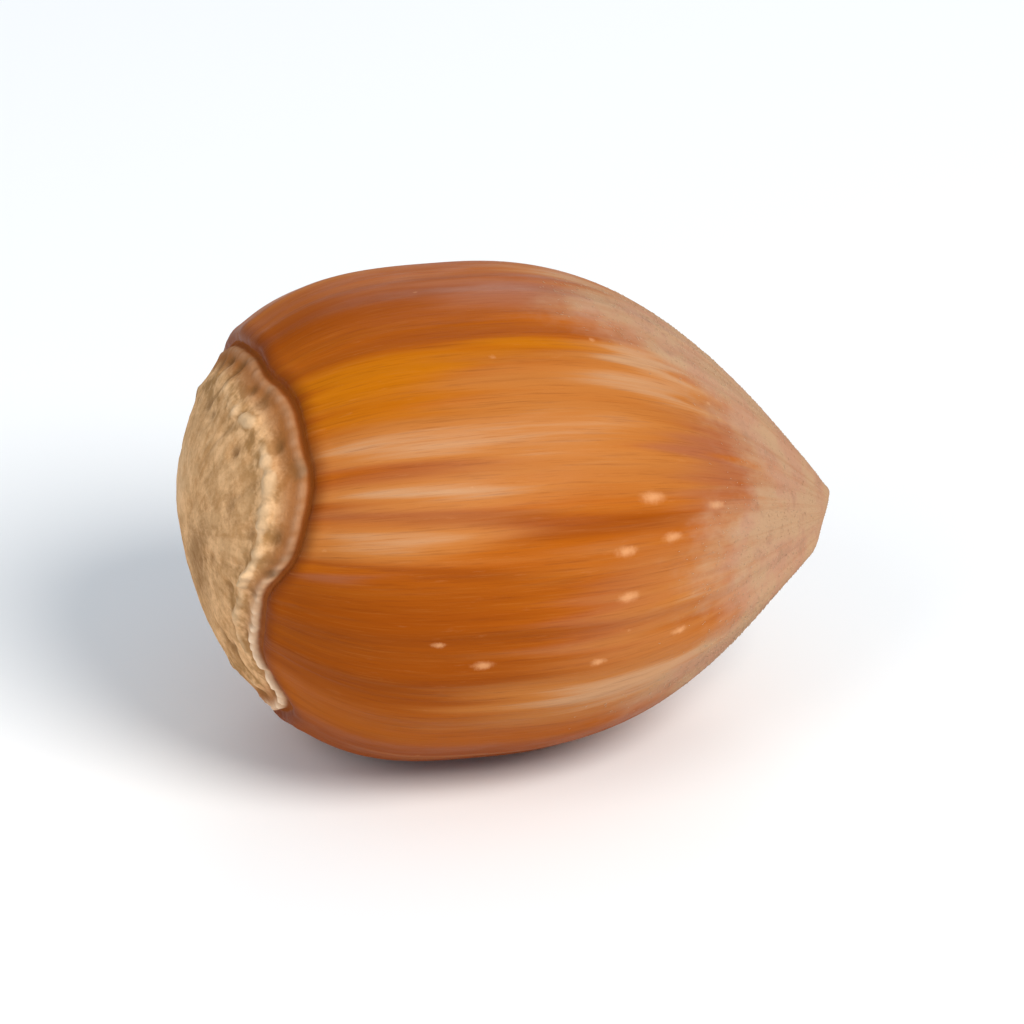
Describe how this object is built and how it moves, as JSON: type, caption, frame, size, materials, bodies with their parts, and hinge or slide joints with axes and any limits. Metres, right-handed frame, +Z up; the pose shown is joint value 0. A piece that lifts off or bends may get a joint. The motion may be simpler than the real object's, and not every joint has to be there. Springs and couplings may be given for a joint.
{
  "type": "hazelnut",
  "caption": "Hazelnut in its shell, lying on its side: a blunt-pointed brown shell with a domed pale scar at the base and a small flat spot underneath.",
  "frame": {"origin": "the point of the surface it lies on below the middle of the part's box", "axes": "+X from the pale base scar to the tip, +Z up with the nut lying on its side, -Y towards the side seen in the picture"},
  "size_m": [0.0254, 0.0198, 0.0186],
  "materials": {
    "shell": "satin"
  },
  "bodies": {
    "root": {"hazelnut": "shell"}
  },
  "joints": []
}
